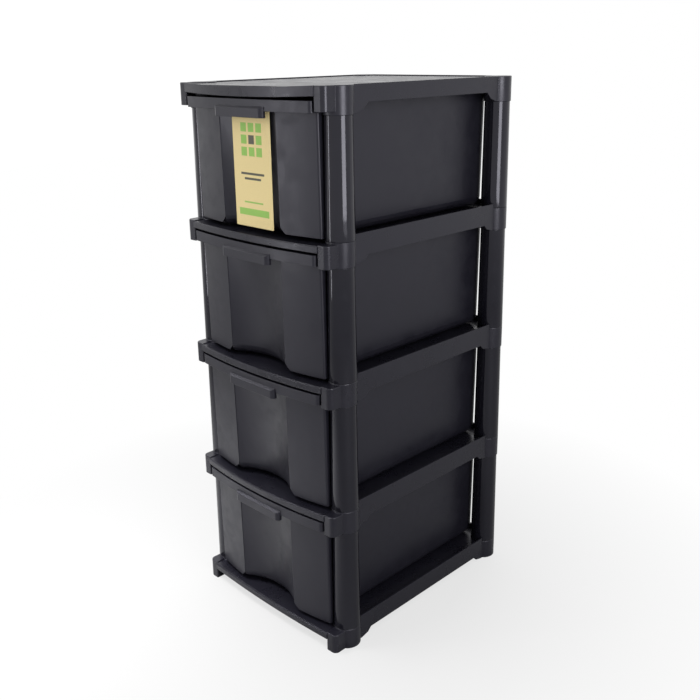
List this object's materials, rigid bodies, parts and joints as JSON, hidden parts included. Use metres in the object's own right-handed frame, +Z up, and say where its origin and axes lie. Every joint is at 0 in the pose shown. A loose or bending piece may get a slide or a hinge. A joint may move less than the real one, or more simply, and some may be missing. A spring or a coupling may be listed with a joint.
{
  "type": "drawer storage tower",
  "caption": "Free-standing plastic storage tower: stacked frames on round posts, each with a deep sliding drawer, under a shallow recessed lid.",
  "frame": {"origin": "middle of the overall box at the floor", "axes": "+Z up, -Y towards the drawers' fronts, +X to the viewer's right"},
  "size_m": [0.3234, 0.414, 0.82],
  "materials": {
    "frame_plastic": "charcoal, fine satin",
    "post_plastic": "charcoal, semi-gloss",
    "drawer_plastic": "charcoal, fine satin",
    "card": "uncoated kraft card"
  },
  "bodies": {
    "tower": {"lid": "frame_plastic", "frame_1": "frame_plastic", "frame_2": "frame_plastic", "frame_3": "frame_plastic", "base_frame": "frame_plastic", "post_1_front_left": "post_plastic", "post_1_front_right": "post_plastic", "post_1_rear_left": "post_plastic", "post_1_rear_right": "post_plastic", "post_2_front_left": "post_plastic", "post_2_front_right": "post_plastic", "post_2_rear_left": "post_plastic", "post_2_rear_right": "post_plastic", "post_3_front_left": "post_plastic", "post_3_front_right": "post_plastic", "post_3_rear_left": "post_plastic", "post_3_rear_right": "post_plastic", "post_4_front_left": "post_plastic", "post_4_front_right": "post_plastic", "post_4_rear_left": "post_plastic", "post_4_rear_right": "post_plastic"},
    "drawer_body_1": {"drawer_1": "drawer_plastic", "drawer_card": "card"},
    "drawer_body_2": {"drawer_2": "drawer_plastic"},
    "drawer_body_3": {"drawer_3": "drawer_plastic"},
    "drawer_body_4": {"drawer_4": "drawer_plastic"}
  },
  "joints": [
    {"name": "drawer_slide_1", "type": "slide", "parent": "tower", "child": "drawer_body_1", "axis": [0, -1, 0], "range_m": [0, 0.28]},
    {"name": "drawer_slide_2", "type": "slide", "parent": "tower", "child": "drawer_body_2", "axis": [0, -1, 0], "range_m": [0, 0.28]},
    {"name": "drawer_slide_3", "type": "slide", "parent": "tower", "child": "drawer_body_3", "axis": [0, -1, 0], "range_m": [0, 0.28]},
    {"name": "drawer_slide_4", "type": "slide", "parent": "tower", "child": "drawer_body_4", "axis": [0, -1, 0], "range_m": [0, 0.28]}
  ]
}
